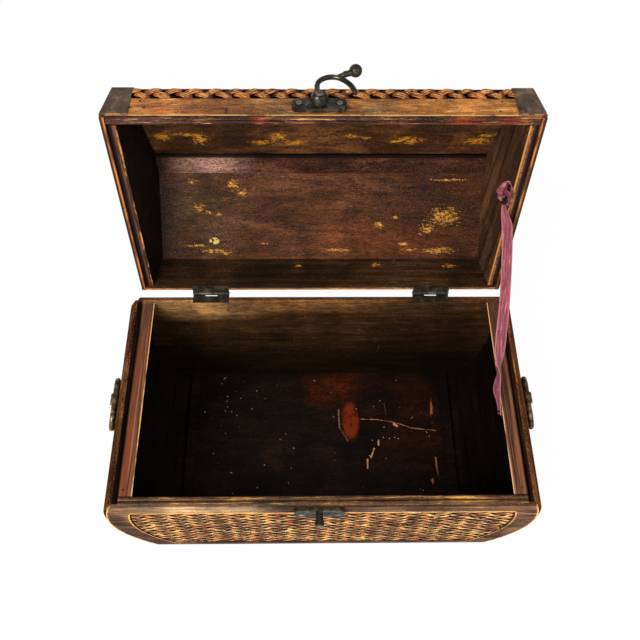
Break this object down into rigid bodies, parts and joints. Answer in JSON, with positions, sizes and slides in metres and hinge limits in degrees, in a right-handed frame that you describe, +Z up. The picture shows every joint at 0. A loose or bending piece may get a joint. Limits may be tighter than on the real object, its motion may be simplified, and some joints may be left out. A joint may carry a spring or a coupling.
{
  "type": "keepsake chest",
  "caption": "Small woven-panel wooden keepsake chest with barrel-shaped ends, a hinged ridged lid, a swinging hook latch and ring handles, drawn open.",
  "frame": {"origin": "on the underside of the base, midway along the chest and midway between its front and back at the rim", "axes": "+Z up, +X to the right as seen from the front, -Y toward the front (the side with the latch)"},
  "size_m": [0.3664, 0.2951, 0.3432],
  "materials": {
    "frame_wood": "worn dark brown varnish",
    "inner_wood": "dark brown stain",
    "lid_board_wood": "warm orange-brown varnish",
    "floor_wood": "reddish brown stain, worn",
    "batten_wood": "purplish brown, matt",
    "bead_wood": "dark, rubbed to gold on the tops",
    "reed": "woven split cane, varnished",
    "cap_metal": "dark brown paint, dull",
    "bronze": "blackened brass, dull",
    "brass": "antique brass, dull",
    "ribbon_cloth": "velvet ribbon"
  },
  "bodies": {
    "chest": {"base_board": "inner_wood", "floor_panel": "floor_wood", "floor_cleats": "inner_wood", "front_wall": "inner_wood", "back_wall": "inner_wood", "left_wall": "inner_wood", "right_wall": "inner_wood", "front_frame": "frame_wood", "back_frame": "frame_wood", "left_frame": "frame_wood", "right_frame": "frame_wood", "front_weave": "reed", "back_weave": "reed", "left_weave": "reed", "right_weave": "reed", "front_rim_beads": "bead_wood", "strike_plate": "bronze", "strike_post": "bronze", "strike_screws": "bronze", "hinge_body_leaves": "bronze", "hinge_pins": "bronze", "hinge_body_screws": "bronze", "left_handle_strap": "brass", "right_handle_strap": "brass", "ribbon_stay": "ribbon_cloth", "ribbon_body_tack": "bronze"},
    "lid": {"lid_front_wall": "inner_wood", "lid_back_wall": "inner_wood", "lid_left_end": "inner_wood", "lid_right_end": "inner_wood", "lid_left_frame": "frame_wood", "lid_right_frame": "frame_wood", "lid_left_weave": "reed", "lid_right_weave": "reed", "lid_front_slope": "inner_wood", "lid_back_slope": "inner_wood", "lid_weave": "reed", "ridge_batten": "batten_wood", "lid_front_board": "lid_board_wood", "lid_back_board": "lid_board_wood", "lid_front_braid": "reed", "lid_back_braid": "reed", "lid_rim_beads": "bead_wood", "front_left_cap": "cap_metal", "front_right_cap": "cap_metal", "back_left_cap": "cap_metal", "back_right_cap": "cap_metal", "hinge_lid_leaves": "bronze", "hinge_lid_screws": "bronze", "latch_plate": "bronze", "latch_screws": "bronze", "latch_rivet": "bronze", "ribbon_fold": "ribbon_cloth", "ribbon_lid_tacks": "bronze"},
    "latch_hook": {"latch_hook": "bronze"},
    "left_handle": {"left_handle_ring": "brass"},
    "right_handle": {"right_handle_ring": "brass"}
  },
  "joints": [
    {"name": "lid_hinge", "type": "hinge", "parent": "chest", "child": "lid", "pos_m": [0, 0.1, 0.1373], "axis": [1, 0, 0], "range_deg": [0, 96.6], "deforming": ["ribbon_stay"]},
    {"name": "latch_swing", "type": "hinge", "parent": "lid", "child": "latch_hook", "pos_m": [-0.0033, 0.13298, 0.32928], "axis": [0, -0.1149, -0.9934], "range_deg": [0, 130]},
    {"name": "left_handle_swing", "type": "hinge", "parent": "chest", "child": "left_handle", "pos_m": [-0.17679, 0, 0.1235], "axis": [0, 1, 0], "range_deg": [0, 150]},
    {"name": "right_handle_swing", "type": "hinge", "parent": "chest", "child": "right_handle", "pos_m": [0.17679, 0, 0.1235], "axis": [0, -1, 0], "range_deg": [0, 150]}
  ]
}
